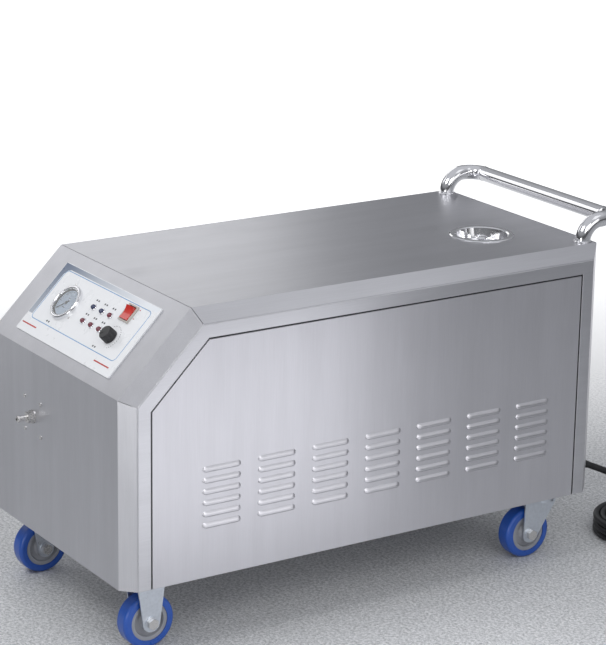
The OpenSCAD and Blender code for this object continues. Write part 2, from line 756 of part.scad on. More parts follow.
module fork_ears(y0, y1, z, at_y) difference() {
    for (s = [-1, 1]) translate([s * (ear_in + ear_t / 2), 0, 0]) {
        across(-ear_t / 2, ear_t / 2) ear_outline(y0, y1, z, at_y, 17);
        translate([0, at_y, wheel_r]) rod_x(13, s > 0 ? 0 : -ear_t / 2 - 1.2, s > 0 ? ear_t / 2 + 1.2 : 0);
    }
    translate([0, at_y, wheel_r]) rod_x(axle_r, -40, 40);
}

module fixed_fork(s) color("lightsteelblue") translate([s * caster_x, front_axle_y, 0]) {
    mount_plate();
    fork_ears(-28, 28, plate_bottom + e, 0);
}

// Top plate with the raceway cup and the king pin
module swivel_plate(s) color("lightsteelblue") translate([s * caster_x, swivel_y, 0]) {
    mount_plate();
    translate([0, 0, 121]) cylinder(r = 31, h = plate_bottom - 121 + e);
    translate([0, 0, 105]) cylinder(r = axle_r, h = plate_bottom - 105);
    translate([0, 0, 104.6]) cylinder(r = 10, h = 4);
}

module swivel_fork(s) color("lightsteelblue") translate([s * caster_x, swivel_y, 0]) {
    difference() {
        union() {
            translate([0, 0, 109]) linear_extrude(4) {
                circle(28);
                translate([-ear_in - ear_t, -trail - 14]) square([2 * (ear_in + ear_t), trail + 34]);
            }
            translate([0, 0, 113 - e]) cylinder(r = 29, h = 7.5);
        }
        translate([0, 0, 100]) cylinder(r = axle_r + run_fit, h = 30);
        translate([0, 0, 100]) cylinder(r = 10.5, h = 9);
    }
    fork_ears(-trail - 14, 20, 109 + e, -trail);
}

// One wheel's frame: its axle along X at the right height
module at_wheel(sx, rear) {
    translate([sx * caster_x, rear ? swivel_y - trail : front_axle_y, wheel_r]) rotate([0, 90, 0]) children();
}

module tyre() color("royalblue") rotate_extrude($fn = 96) {
    shoulder = 7;
    w = tyre_w / 2;
    inner = 36;
    difference() {
        union() {
            translate([inner, -w]) square([wheel_r - inner - shoulder, tyre_w]);
            translate([inner, -w + shoulder]) square([wheel_r - inner, tyre_w - 2 * shoulder]);
            for (s = [-1, 1]) translate([wheel_r - shoulder, s * (w - shoulder)]) circle(shoulder);
        }
        square([inner, tyre_w * 2]);
    }
}

module hub() color("gray") rotate_extrude($fn = 96) polygon([
    [axle_r + run_fit, -20.5], [13, -20.5], [14, -14], [18, -9], [27, -9], [29, -14.5], [36, -14.5],
    [36, 14.5], [29, 14.5], [27, 9], [18, 9], [14, 14], [13, 20.5], [axle_r + run_fit, 20.5]]);

// Axle bolt with a head at one end and a nut at the other
module axle_bolt() {
    end = ear_in + ear_t + 1.2;
    cylinder(r = axle_r, h = 2 * end + 6, center = true);
    for (s = [-1, 1]) translate([0, 0, s * (end + 3.5)]) cylinder(r = 10.4, h = 7, center = true, $fn = 6);
}

// ---- Cord ----

// Hexagon, dome and a drooping tapered boot
module cable_gland() color("black") {
    translate([gland_x, 0, gland_z]) {
        hex_y(24, rear_y, rear_y + 8);
        rod_y(gland_hole_r - 0.2, rear_y - 12, rear_y + e);
        hex_y(24, rear_y - sheet - 7, rear_y - sheet - 3.2);
        rod_y(12, rear_y + 8 - e, boot_start);
    }
    steps = 4;
    step = boot_turn / steps;
    for (i = [0:steps - 1]) let (a = i * step, run = 2 * boot_bend_r * sin(step / 2))
        translate([gland_x, boot_start + boot_bend_r * sin(a), gland_z - boot_bend_r * (1 - cos(a))])
            rotate([-90 - a - step / 2, 0, 0])
            cylinder(r1 = 10.5 - i * 0.9, r2 = 9.6 - i * 0.9, h = run + (i < steps - 1 ? 0.8 : 0));
}

module cord_tube() color("black") {
    swept_tube(cord_route, cord_d / 2, 10);
    swept_tube(tail_route, cord_d / 2, 10);
}

// The wound cord's outer shape, with a raised ring where the last turn lies on top
module cord_coil() color("black") translate([coil_x, coil_y, 0]) rotate_extrude($fn = 96) {
    r = cord_d / 2;
    translate([coil_r0 - r, r]) square([coil_r1 - coil_r0 + cord_d, coil_h - cord_d]);
    translate([coil_r0, 0]) square([coil_r1 - coil_r0, coil_h]);
    for (x = [coil_r0, coil_r1], z = [r, coil_h - r]) translate([x, z]) circle(r);
    translate([coil_r0, coil_h - r]) square([coil_top_r - coil_r0, cord_d + r]);
    translate([coil_r0 - r, coil_h - r]) square([coil_top_r - coil_r0 + cord_d, cord_d]);
    for (x = [coil_r0, coil_top_r]) translate([x, coil_h + r]) circle(r);
}

// Mains plug: cable sleeve, grip, round face and three pins
module plug() color("dimgray") translate([tail_x, plug_y, plug_z]) {
    rotate([-90, 0, 0]) rotate_extrude()
        polygon([[0, 0], [9, 0], [10, 3], [11, 24], [17, 34], [19, 60],
        [24, 66], [24, 76], [22.5, 78], [0, 78]]);
    for (a = [0, 120, 240]) rotate([0, a, 0]) translate([0, 0, 11]) rod_y(2.4, 78 - e, 100);
}

base_tray();
chassis_rails();
front_panel();
top_cover();
rear_panel();
mirror([1, 0, 0]) side_frame_right();  // side_frame_left
side_frame_right();
mirror([1, 0, 0]) side_door_right();  // side_door_left
side_door_right();
control_plate();
gauge_case();
gauge_dial();
gauge_needle();
gauge_glass();
pilot_light(0);  // light_1
pilot_light(1);  // light_2
pilot_light(2);  // light_3
pilot_light(3);  // light_4
pilot_light(4);  // light_5
pilot_light(5);  // light_6
rocker_frame();
rocker();
knob();
potentiometer();
outlet_body();
outlet_nipple();
outlet_screws();
steam_pipe();
fill_flange();
fill_neck();
fill_basket();
water_tank();
boiler();
heater();
feed_pump();
safety_valve();
electrics_box();
handle();
fixed_fork(-1);  // fork_fl
fixed_fork(1);  // fork_fr
swivel_plate(-1);  // plate_rl
swivel_plate(1);  // plate_rr
swivel_fork(-1);  // fork_rl
swivel_fork(1);  // fork_rr
at_wheel(-1, false) tyre();  // tyre_fl
at_wheel(1, false) tyre();  // tyre_fr
at_wheel(-1, true) tyre();  // tyre_rl
at_wheel(1, true) tyre();  // tyre_rr
at_wheel(-1, false) hub();  // hub_fl
at_wheel(1, false) hub();  // hub_fr
at_wheel(-1, true) hub();  // hub_rl
at_wheel(1, true) hub();  // hub_rr
color("silver") for (s = [-1, 1]) at_wheel(s, false) axle_bolt();  // axle_front
color("silver") at_wheel(-1, true) axle_bolt();  // axle_rl
color("silver") at_wheel(1, true) axle_bolt();  // axle_rr
caster_bolts();
cable_gland();
cord_tube();
cord_coil();
plug();
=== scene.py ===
"""Looks for the steam cleaner: materials, detailed pieces, cord, floor, light and camera."""

import math

import bmesh
import bpy
from mathutils import Matrix, Vector


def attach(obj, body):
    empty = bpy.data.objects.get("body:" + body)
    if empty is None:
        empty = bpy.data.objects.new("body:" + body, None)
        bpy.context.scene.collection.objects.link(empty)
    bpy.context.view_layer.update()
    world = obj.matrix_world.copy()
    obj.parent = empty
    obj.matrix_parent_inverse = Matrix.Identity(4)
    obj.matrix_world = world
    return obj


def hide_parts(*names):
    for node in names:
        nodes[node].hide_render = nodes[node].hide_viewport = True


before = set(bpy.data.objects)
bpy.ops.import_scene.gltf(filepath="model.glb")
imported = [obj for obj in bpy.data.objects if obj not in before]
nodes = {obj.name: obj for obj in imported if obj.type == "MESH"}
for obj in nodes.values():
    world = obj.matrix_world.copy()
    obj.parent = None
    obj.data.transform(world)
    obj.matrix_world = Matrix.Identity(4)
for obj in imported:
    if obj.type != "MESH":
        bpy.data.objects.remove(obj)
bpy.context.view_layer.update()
MM = 0.001
TAU = 2 * math.pi


def mm(*p):
    """A point given in millimetres."""
    return Vector(p) * MM


# ---- Camera: solved from the photo's perspective, lengths in metres ----
AZ, EL, ROLL = (math.radians(a) for a in (57.11, 16.71, 0.91))
TARGET = Vector((0.02386, -0.02108, 0.48201))
DISTANCE = 4.63116
SENSOR_HEIGHT, FOCAL_LENGTH = 36, 139.03
back = Vector((math.sin(AZ) * math.cos(EL), -math.cos(AZ) * math.cos(EL), math.sin(EL)))
right = (-back).cross(Vector((0, 0, 1))).normalized()
up = right.cross(-back)
cam_x = right * math.cos(ROLL) + up * math.sin(ROLL)
cam_y = -right * math.sin(ROLL) + up * math.cos(ROLL)
camera_data = bpy.data.cameras.new("camera")
camera_data.sensor_fit = "VERTICAL"
camera_data.sensor_height = SENSOR_HEIGHT
camera_data.lens = FOCAL_LENGTH
camera = bpy.data.objects.new("camera", camera_data)
bpy.context.scene.collection.objects.link(camera)
turn = Matrix((cam_x, cam_y, back)).transposed()
camera.matrix_world = Matrix.Translation(TARGET + back * DISTANCE) @ turn.to_4x4()
bpy.context.scene.camera = camera

# ---- Materials ----
EVEN = (1, 1, 1)
WHITE = (1, 1, 1)


class Nodes:
    """A material with a Principled shader, and short ways to add nodes to it."""

    def __init__(self, name, base, rough, metal=0.0, **fixed):
        self.mat = bpy.data.materials.new(name)
        self.mat.use_nodes = True
        self.tree = self.mat.node_tree
        self.shader = self.tree.nodes["Principled BSDF"]
        self.shader.inputs["Base Color"].default_value = (*base, 1)
        self.shader.inputs["Roughness"].default_value = rough
        self.shader.inputs["Metallic"].default_value = metal
        for key, value in fixed.items():
            self.shader.inputs[key.replace("_", " ")].default_value = value
        self.coord = self.tree.nodes.new("ShaderNodeTexCoord")

    def add(self, kind, **values):
        """A new shader node with its settings."""
        node = self.tree.nodes.new("ShaderNode" + kind)
        for key, value in values.items():
            setattr(node, key, value)
        return node

    def link(self, a, b):
        self.tree.links.new(a, b)
        return self

    def noise(self, scale, detail=4, stretch=EVEN, rough=0.6, offset=(0, 0, 0)):
        """Noise in the piece's own coordinates."""
        place = self.add("Mapping")
        place.inputs["Scale"].default_value = stretch
        place.inputs["Location"].default_value = offset
        tex = self.add("TexNoise")
        tex.inputs["Scale"].default_value = scale
        tex.inputs["Detail"].default_value = detail
        tex.inputs["Roughness"].default_value = rough
        self.link(self.coord.outputs["Object"], place.inputs["Vector"])
        self.link(place.outputs[0], tex.inputs["Vector"])
        return tex.outputs["Fac"]

    def ramp(self, fac, stops):
        """Maps fac through (position, value or colour) stops."""
        node = self.add("ValToRGB")
        while len(node.color_ramp.elements) < len(stops):
            node.color_ramp.elements.new(0.5)
        for element, (at, value) in zip(node.color_ramp.elements, stops):
            element.position = at
            element.color = (*value, 1) if hasattr(value, "__len__") else (value, value, value, 1)
        self.link(fac, node.inputs["Fac"])
        return node.outputs["Color"]

    def mix(self, fac, a, b, mode="MIX"):
        """Mixes two colours; each is a socket or a tuple."""
        node = self.add("Mix", data_type="RGBA", blend_type=mode)
        for value, name in ((fac, 0), (a, 6), (b, 7)):
            if hasattr(value, "is_linked"):
                self.link(value, node.inputs[name])
            else:
                node.inputs[name].default_value = (*value, 1) if hasattr(value, "__len__") else value
        return node.outputs[2]

    def maths(self, op, a, b=0.0):
        """A maths node; each operand is a socket or a number."""
        node = self.add("Math", operation=op)
        for i, value in enumerate((a, b)):
            if hasattr(value, "is_linked"):
                self.link(value, node.inputs[i])
            else:
                node.inputs[i].default_value = value
        return node.outputs[0]

    def bump(self, height, strength, distance):
        node = self.add("Bump")
        node.inputs["Strength"].default_value = strength
        node.inputs["Distance"].default_value = distance
        self.link(height, node.inputs["Height"])
        self.link(node.outputs[0], self.shader.inputs["Normal"])
        return self

    def color(self, socket):
        return self.link(socket, self.shader.inputs["Base Color"])

    def roughness(self, socket):
        return self.link(socket, self.shader.inputs["Roughness"])


def shade(c, k):
    """A colour made k times as bright."""
    return tuple(min(1, x * k) for x in c)


def along_grain(grain, across, along):
    """A noise stretch with one value along the grain axis and another across it."""
    stretch = [across] * 3
    stretch["XYZ".index(grain)] = along
    return stretch


def brushed(name, base, rough, grain, contrast=0.05):
    """Brushed stainless steel: fine streaks along the grain axis, broad patches and faint smears."""
    m = Nodes(name, base, rough, 1.0)
    fine = m.noise(60, 6, along_grain(grain, 14.0, 0.22), 0.75)
    broad = m.noise(2.3, 3, rough=0.5, offset=(3.1, 1.7, 0.4))
    swipe = m.noise(3.0, 4, along_grain(grain, 9.0, 0.8), offset=(1.9, 6.3, 2.8))
    smear = m.noise(9, 4, offset=(7.7, 2.2, 5.1))
    tone = m.ramp(fine, [(0.30, shade(base, 1 - contrast)), (0.70, shade(base, 1 + contrast))])
    patch = m.ramp(broad, [(0.30, shade(WHITE, 0.93)), (0.70, WHITE)])
    swept = m.ramp(swipe, [(0.35, shade(WHITE, 1 - contrast)), (0.62, WHITE)])
    m.color(m.mix(1.0, m.mix(1.0, tone, patch, "MULTIPLY"), swept, "MULTIPLY"))
    streak = m.ramp(fine, [(0.25, rough - 0.04), (0.75, rough + 0.04)])
    marks = m.ramp(smear, [(0.55, 1.0), (0.75, 1.12)])
    m.roughness(m.mix(1.0, streak, marks, "MULTIPLY"))
    return m.bump(fine, 0.10, 0.0002).mat


def polished(name, base, rough=0.10):
    """Polished metal with faint hairlines and cloudy patches."""
    m = Nodes(name, base, rough, 1.0)
    lines = m.noise(220, 3)
    cloud = m.noise(14, 4, offset=(1.3, 4.4, 2.1))
    m.color(m.ramp(cloud, [(0.3, shade(base, 0.94)), (0.7, base)]))
    m.roughness(m.mix(1.0, m.ramp(cloud, [(0.35, rough), (0.75, rough + 0.10)]),
                      m.ramp(lines, [(0.4, 0.9), (0.7, 1.1)]), "MULTIPLY"))
    return m.bump(lines, 0.02, 0.0001).mat


def plated(name, base, rough=0.34):
    """Zinc plate: small soft crystals of slightly different tone."""
    m = Nodes(name, base, rough, 0.9)
    cells = m.add("TexVoronoi", feature="F1")
    cells.inputs["Scale"].default_value = 170
    m.link(m.coord.outputs["Object"], cells.inputs["Vector"])
    cloud = m.noise(20, 5, rough=0.65, offset=(2, 5, 9))
    tone = m.ramp(cells.outputs["Distance"], [(0.0, shade(base, 0.90)), (0.8, shade(base, 1.08))])
    m.color(m.mix(0.45, tone, m.ramp(cloud, [(0.3, shade(base, 0.82)), (0.7, shade(base, 1.05))])))
    m.roughness(m.ramp(cloud, [(0.3, rough - 0.08), (0.7, rough + 0.12)]))
    return m.bump(cells.outputs["Distance"], 0.06, 0.0003).mat


def moulded(name, base, rough=0.5, grain=900, depth=0.15, wear=0.0, blotch=0.10, coat=0.0):
    """Moulded plastic, rubber or paint: fine pebble, cloudy tone, paler scuffs and a gloss coat."""
    m = Nodes(name, base, rough, 0.0, Coat_Weight=coat)
    pebble = m.noise(grain, 2, rough=0.5)
    cloud = m.noise(25, 4, offset=(4, 1, 7))
    tone = m.ramp(cloud, [(0.3, shade(base, 1 - blotch)), (0.7, shade(base, 1 + blotch))])
    if wear:
        scuff = m.noise(90, 6, rough=0.7, offset=(8, 8, 1))
        pale = tuple(x + (0.5 - x) * wear for x in base)
        tone = m.mix(m.ramp(scuff, [(0.60, 0.0), (0.72, 1.0)]), tone, pale)
    m.color(tone)
    m.roughness(m.ramp(cloud, [(0.3, rough - 0.06), (0.7, rough + 0.10)]))
    return m.bump(pebble, depth, 0.0002).mat


def glassy(name, tint):
    """Clear glass with a little dust."""
    m = Nodes(name, tint, 0.03, 0.0, Transmission_Weight=1.0, IOR=1.45)
    dust = m.noise(60, 5, rough=0.7)
    m.roughness(m.ramp(dust, [(0.45, 0.02), (0.75, 0.09)]))
    return m.mat


def border_fade(name, corner, near, far, reach):
    """Darker towards one corner, fading to the pale plate colour."""
    m = Nodes(name, far, 0.30, 0.0, Coat_Weight=0.3)
    apart = m.add("VectorMath", operation="DISTANCE")
    apart.inputs[1].default_value = corner
    m.link(m.coord.outputs["Object"], apart.inputs[0])
    share = m.maths("DIVIDE", apart.outputs["Value"], reach)
    middle = tuple((a + b) / 2 for a, b in zip(near, far))
    m.color(m.ramp(share, [(0.0, near), (0.45, middle), (1.0, far)]))
    cloud = m.noise(30, 4)
    m.roughness(m.ramp(cloud, [(0.3, 0.26), (0.7, 0.36)]))
    return m.bump(m.noise(400, 2), 0.02, 0.0001).mat


STEEL = (0.62, 0.62, 0.65)
MAT = {
    "steel_y": brushed("steel_y", STEEL, 0.36, "Y"),
    "steel_z": brushed("steel_z", STEEL, 0.36, "Z"),
    "steel_door": brushed("steel_door", (0.64, 0.635, 0.67), 0.38, "Z", contrast=0.04),
    "steel_inner": brushed("steel_inner", (0.50, 0.50, 0.51), 0.45, "Y"),
    "chrome": polished("chrome", (0.88, 0.88, 0.90), 0.07),
    "chrome_dull": polished("chrome_dull", (0.66, 0.65, 0.64), 0.22),
    "zinc": plated("zinc", (0.62, 0.66, 0.72)),
    "glass": glassy("glass", (0.97, 0.99, 1.0)),
    "copper": polished("copper", (0.72, 0.38, 0.25), 0.30),
    "brass": polished("brass", (0.72, 0.54, 0.24), 0.28),
    "border": border_fade("border", (-0.1755, -0.407, 0.603), (0.05, 0.09, 0.17), (0.76, 0.79, 0.83), 0.30),
}
# Base colour, roughness, pebble scale, pebble depth, and what else differs
MOULDED = {
    "tyre": ((0.014, 0.080, 0.39), 0.30, 500, 0.06, dict(coat=0.25, wear=0.03)),
    "hub": ((0.30, 0.31, 0.34), 0.45, 700, 0.12, dict(wear=0.10)),
    "white": ((0.80, 0.81, 0.83), 0.28, 400, 0.02, dict(coat=0.3, blotch=0.02)),
    "dial": ((0.50, 0.57, 0.68), 0.45, 900, 0.03, dict(blotch=0.04)),
    "black": ((0.018, 0.018, 0.020), 0.42, 900, 0.10, dict(coat=0.1, wear=0.04)),
    "rubber": ((0.016, 0.016, 0.018), 0.50, 1200, 0.18, dict(wear=0.03)),
    "lens": ((0.02, 0.03, 0.10), 0.12, 300, 0.02, dict(coat=0.8)),
    "lens_red": ((0.16, 0.02, 0.04), 0.12, 300, 0.02, dict(coat=0.8)),
    "red": ((0.62, 0.03, 0.02), 0.22, 500, 0.03, dict(coat=0.6)),
    "beige": ((0.52, 0.49, 0.45), 0.40, 700, 0.08, {}),
    "ink_line": ((0.12, 0.30, 0.55), 0.35, 700, 0.03, dict(coat=0.2)),
    "ink_red": ((0.48, 0.02, 0.02), 0.35, 700, 0.03, dict(coat=0.2)),
    "ink_black": ((0.02, 0.02, 0.03), 0.35, 700, 0.03, dict(coat=0.2)),
    "tank": ((0.70, 0.76, 0.80), 0.35, 500, 0.05, dict(coat=0.2)),
    "green": ((0.05, 0.17, 0.11), 0.40, 600, 0.10, dict(coat=0.2)),
    "grey": ((0.48, 0.49, 0.50), 0.50, 700, 0.10, {}),
}
for name, (base, rough, grain, depth, more) in MOULDED.items():
    MAT[name] = moulded(name, base, rough, grain, depth, **more)

# ---- Cord: centreline in millimetres ----
D = 13.0
COIL = (232.0, 654.0)  # middle of the coil
R_IN, R_OUT = 58.5, 97.5  # centreline of its first and last turn
START_ANGLE = 57.0
LAYER_TURNS, FIRST_TURN, LAST_TURN = 3, -0.97, 8.66
LANDING = 0.6  # turns over which the cord comes down from on top of the coil
CLIMB = 0.9  # turns over which it drops from one layer to the next
TOP_RADIUS = 63.7
TURN_STEPS, CORD_STEP = 36, 5.0
BETWEEN = 12  # points worked out between two given ones
ROUTE = [(190, 541.3, 151), (190, 565, 140), (190, 588, 129), (188, 610, 117), (186, 632, 103),
         (184, 655, 88), (186, 676, 74), (195, 694, 61), (211, 708, 52), (229, 715, 47),
         (246, 715.5, 45.5), (262, 711, 45.5)]
TAIL = [(139, 672, 7), (139, 692, 11), (139, 712, 18), (139, 730, 23), (139, 746, 24), (139, 760, 24)]


def coil_point(t):
    """Where the cord lies t turns from the start of the top layer; below 0 it lies on top."""
    top, mid, low = 2.5 * D, 1.5 * D, 0.5 * D
    if t < -LANDING:
        r, z = TOP_RADIUS, top + D
    elif t < 0:
        k = (t + LANDING) / LANDING
        phi = math.pi / 2 * k * k * (3 - 2 * k)
        r, z = R_IN + D * (1 + t) - D * math.sin(phi), top + D * math.cos(phi)
    else:
        layer = int(t // LAYER_TURNS)
        within = t - LAYER_TURNS * layer
        r = R_IN + D * within if layer != 1 else R_OUT - D * within
        z = (top, mid, low)[layer]
        for turn_at, upper in ((LAYER_TURNS, top), (2 * LAYER_TURNS, mid)):
            if abs(t - turn_at) < CLIMB / 2:
                z = upper - D / 2 - D / 2 * math.sin(math.pi * (t - turn_at) / CLIMB)
    a = math.radians(START_ANGLE - 360 * t)
    return (COIL[0] + r * math.cos(a), COIL[1] + r * math.sin(a), z)


def smooth_line(points, step):
    """Catmull-Rom through the points, then evenly spaced."""
    p = [Vector(points[0]) * 2 - Vector(points[1])] + [Vector(q) for q in points]
    p.append(p[-1] * 2 - p[-2])
    fine = []
    for i in range(1, len(p) - 2):
        for k in range(BETWEEN):
            s = k / BETWEEN
            a, b, c, d = p[i - 1: i + 3]
            fine.append(0.5 * (2 * b + (c - a) * s + (2 * a - 5 * b + 4 * c - d) * s ** 2
                               + (3 * b - a - 3 * c + d) * s ** 3))
    fine.append(p[-2])
    run = [0.0]
    for a, b in zip(fine, fine[1:]):
        run.append(run[-1] + (b - a).length)
    out, j, n = [], 0, round(run[-1] / step)
    for i in range(n + 1):
        at = run[-1] * i / n
        while j < len(run) - 2 and run[j + 1] < at:
            j += 1
        out.append(fine[j].lerp(fine[j + 1], (at - run[j]) / max(run[j + 1] - run[j], 1e-9)))
    return out, run[-1]


turn_count = int((LAST_TURN - FIRST_TURN) * TURN_STEPS) + 1
turns = [coil_point(FIRST_TURN + i / TURN_STEPS) for i in range(turn_count)]
line, cord_length = smooth_line(ROUTE + turns + TAIL, CORD_STEP)
curve = bpy.data.curves.new("mains_cord", "CURVE")
curve.dimensions = "3D"
curve.bevel_depth = D / 2 * MM
curve.bevel_resolution = 5
curve.use_fill_caps = True
spline = curve.splines.new("POLY")
spline.points.add(len(line) - 1)
for point, q in zip(spline.points, line):
    point.co = (*(q * MM), 1)
spline.use_smooth = True
cord = bpy.data.objects.new("mains_cord", curve)
bpy.context.scene.collection.objects.link(cord)
cord.data.materials.append(MAT["rubber"])
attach(cord, "chassis")
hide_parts("cord_tube", "cord_coil")

# ---- Carried-over CAD pieces ----
CASTERS = ("fl", "fr", "rl", "rr")
LOOK_OF = {
    "steel_y": ("base_tray", "top_cover", "side_frame_left", "side_frame_right"),
    "steel_z": ("front_panel", "rear_panel"),
    "steel_inner": ("chassis_rails", "potentiometer", "boiler", "heater"),
    "white": ("control_plate",),
    "chrome": ("gauge_case", "fill_flange", "fill_neck", "fill_basket", "handle"),
    "chrome_dull": ("outlet_body", "outlet_nipple", "outlet_screws", "axle_front", "axle_rl", "axle_rr"),
    "zinc": ("caster_bolts", "plate_rl", "plate_rr", *("fork_" + k for k in CASTERS)),
    "dial": ("gauge_dial",),
    "ink_black": ("gauge_needle",),
    "glass": ("gauge_glass",),
    "beige": ("rocker_frame",),
    "red": ("rocker",),
    "black": ("knob", "cable_gland", "plug"),
    "copper": ("steam_pipe",),
    "brass": ("safety_valve",),
    "tank": ("water_tank",),
    "green": ("feed_pump",),
    "grey": ("electrics_box",),
    "tyre": tuple("tyre_" + k for k in CASTERS),
    "hub": tuple("hub_" + k for k in CASTERS),
}
for look, names in LOOK_OF.items():
    for name in names:
        mesh = nodes[name].data
        mesh.materials.clear()
        mesh.materials.append(MAT[look])

# ---- Finer edges on the sheets and the small mouldings ----
WELD_DISTANCE = 0.00002
EDGE_ANGLE = math.radians(28)
SHEET_EDGE, SMALL_EDGE = 0.0007, 0.0003
SHEETS = ("front_panel", "top_cover", "rear_panel", "side_frame_left", "side_frame_right", "base_tray",
          "control_plate")
SMALL = ("rocker", "rocker_frame", "knob", "outlet_body")
for name in SHEETS + SMALL:
    weld = nodes[name].modifiers.new("weld", "WELD")
    weld.merge_threshold = WELD_DISTANCE
    rounding = nodes[name].modifiers.new("rounding", "BEVEL")
    rounding.width = SMALL_EDGE if name in SMALL else SHEET_EDGE
    rounding.segments = 2
    rounding.limit_method = "ANGLE"
    rounding.angle_limit = EDGE_ANGLE
    flatten = nodes[name].modifiers.new("flatten", "WEIGHTED_NORMAL")
    flatten.weight = 100

# ---- Built pieces, in millimetres ----
# The cabinet as in the CAD: its outline from the side, and the foot of the control slope
FRONT_Y, REAR_Y, SLOPE_TOP_Y = -530.0, 495.0, -387.0
BASE_Z, SLOPE_LOW_Z, TOP_Z = 131.0, 476.0, 619.0
SLOPE = Matrix.Translation(mm(0, FRONT_Y, SLOPE_LOW_Z)) @ Matrix.Rotation(math.radians(45), 4, "X")
BEND_ANGLE = math.radians(30)


def piece(name, bm, look, crease=35, rounding=0.0):
    """A piece on the chassis; edges sharper than crease degrees stay sharp, rounding is in millimetres."""
    mesh = bpy.data.meshes.new(name)
    bmesh.ops.recalc_face_normals(bm, faces=bm.faces)
    bm.to_mesh(mesh)
    bm.free()
    mesh.shade_smooth()
    mesh.set_sharp_from_angle(angle=math.radians(crease))
    obj = bpy.data.objects.new(name, mesh)
    bpy.context.scene.collection.objects.link(obj)
    mesh.materials.append(MAT[look])
    if rounding:
        bevel = obj.modifiers.new("rounding", "BEVEL")
        bevel.width, bevel.segments = rounding * MM, 2
        bevel.limit_method, bevel.angle_limit = "ANGLE", BEND_ANGLE
        bevel.harden_normals = True
    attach(obj, "chassis")
    return obj


def join_rings(bm, a, b):
    """Faces between two rings of vertices; a ring may be one vertex."""
    n = max(len(a), len(b))
    for k in range(n):
        corners = [a[k % len(a)], a[(k + 1) % len(a)], b[(k + 1) % len(b)], b[k % len(b)]]
        corners = list(dict.fromkeys(corners))
        if len(corners) > 2:
            bm.faces.new(corners)


def lathe(bm, profile, place, closed=False, sides=64):
    """Revolves (r, z) points in millimetres round the local Z axis of place."""
    rings = []
    for r, z in profile:
        angles = [TAU * k / sides for k in range(sides)] if r > 0 else [0]
        rings.append([bm.verts.new(place @ mm(r * math.cos(a), r * math.sin(a), z)) for a in angles])
    if closed:
        rings.append(rings[0])
    for a, b in zip(rings, rings[1:]):
        join_rings(bm, a, b)
    return bm


def slab(bm, outline, z0, z1, place):
    """A closed outline in the local XY plane, from z0 to z1."""
    low, high = ([bm.verts.new(place @ mm(x, y, z)) for x, y in outline] for z in (z0, z1))
    bm.faces.new(low)
    bm.faces.new(high)
    join_rings(bm, low, high)
    return bm


def band(bm, outer, inner, z0, z1, place):
    """The room between two outlines with as many points, from z0 to z1."""
    rings = [[bm.verts.new(place @ mm(x, y, z)) for x, y in line]
             for line, z in ((outer, z0), (outer, z1), (inner, z1), (inner, z0))]
    rings.append(rings[0])
    for a, b in zip(rings, rings[1:]):
        join_rings(bm, a, b)
    return bm


def rounded(w, h, r, x, y, steps=8):
    """A rectangle with round corners, anticlockwise round (x, y)."""
    points = []
    for sx, sy, start in ((1, 1, 0), (-1, 1, 90), (-1, -1, 180), (1, -1, 270)):
        for k in range(steps + 1):
            a = math.radians(start + 90 * k / steps)
            points.append((x + sx * (w / 2 - r) + r * math.cos(a), y + sy * (h / 2 - r) + r * math.sin(a)))
    return points


def at(x, u, z=0.0, turned=0.0):
    """A place on the control slope, turned about its normal by some degrees."""
    return SLOPE @ Matrix.Translation(mm(x, u, z)) @ Matrix.Rotation(math.radians(turned), 4, "Z")


# Louvred doors
DOOR_INSET, OPEN_INSET = 53.0, 50.0  # inwards from the cabinet's outline
DOOR_OUT, DOOR_SHEET = 264.6, 2
FLANGE_LOW, FLANGE_WALL, FLANGE_DEEP = 156, 2, 15.0
GAP_SHADE_IN, GAP_SHADE_OUT, GAP_SHADE_MARGIN = 254.0, 262.4, 0.05
LOUVRE_L, LOUVRE_H, LOUVRE_OUT = 77.0, 10.0, 4.0
LOUVRE_ENDS = 9  # the length over which a hood drops at each end
CREST, EDGE_FROM, EDGE_RISE = 0.8, 0.95, 0.72  # shares of its height and of its rise
LOUVRE_GAP, MOUTH_GAP = 0.02, 0.03
MOUTH_SHORTER, MOUTH_H, MOUTH_R, MOUTH_DOWN, MOUTH_IN = 10, 2.4, 1.1, 4.2, 1.4
COLUMNS, COLUMN_FIRST, COLUMN_PITCH = 7, 152, 112.8
ROWS, ROW_FIRST, ROW_PITCH = 6, 202, 20.7
LOUVRES = [(FRONT_Y + COLUMN_FIRST + LOUVRE_L / 2 + COLUMN_PITCH * i, BASE_Z + ROW_FIRST - ROW_PITCH * j)
           for i in range(COLUMNS) for j in range(ROWS)]


def cabinet_side(o, base):
    """The cabinet's outline from the side, moved inwards by o, as (y, z) from the given base up."""
    bend = o * (math.sqrt(2) - 1)
    return [(FRONT_Y + o, base), (REAR_Y - o, base), (REAR_Y - o, TOP_Z - o), (SLOPE_TOP_Y + bend, TOP_Z - o),
            (FRONT_Y + o, SLOPE_LOW_Z - bend)]


def louvre(bm, y, z, place):
    """A pressed hood: it rises from its soft top edge to its open lower edge, with dropped round ends."""
    nu, nv, half, cap = 28, 8, LOUVRE_L / 2, LOUVRE_H / 2
    rows = []
    for i in range(nu + 1):
        s = -half + LOUVRE_L * (0.5 - 0.5 * math.cos(math.pi * i / nu))
        over = max(0.0, abs(s) - (half - cap))
        reach = math.sqrt(max(0.0, cap * cap - over * over))
        drop = max(0.0, abs(s) - (half - LOUVRE_ENDS)) / LOUVRE_ENDS
        rise = LOUVRE_OUT * math.sqrt(max(0.0, 1 - drop * drop))
        row = []
        for j in range(nv + 1):
            t = j / nv
            lift = rise * (math.sin(min(t / CREST, 1.0) * math.pi / 2) if t < EDGE_FROM else EDGE_RISE)
            row.append(bm.verts.new(place @ mm(y + s, z + reach * (1 - 2 * t), LOUVRE_GAP + lift)))
        rows.append(row)
    for a, b in zip(rows, rows[1:]):
        for j in range(nv):
            bm.faces.new((a[j], b[j], b[j + 1], a[j + 1]))


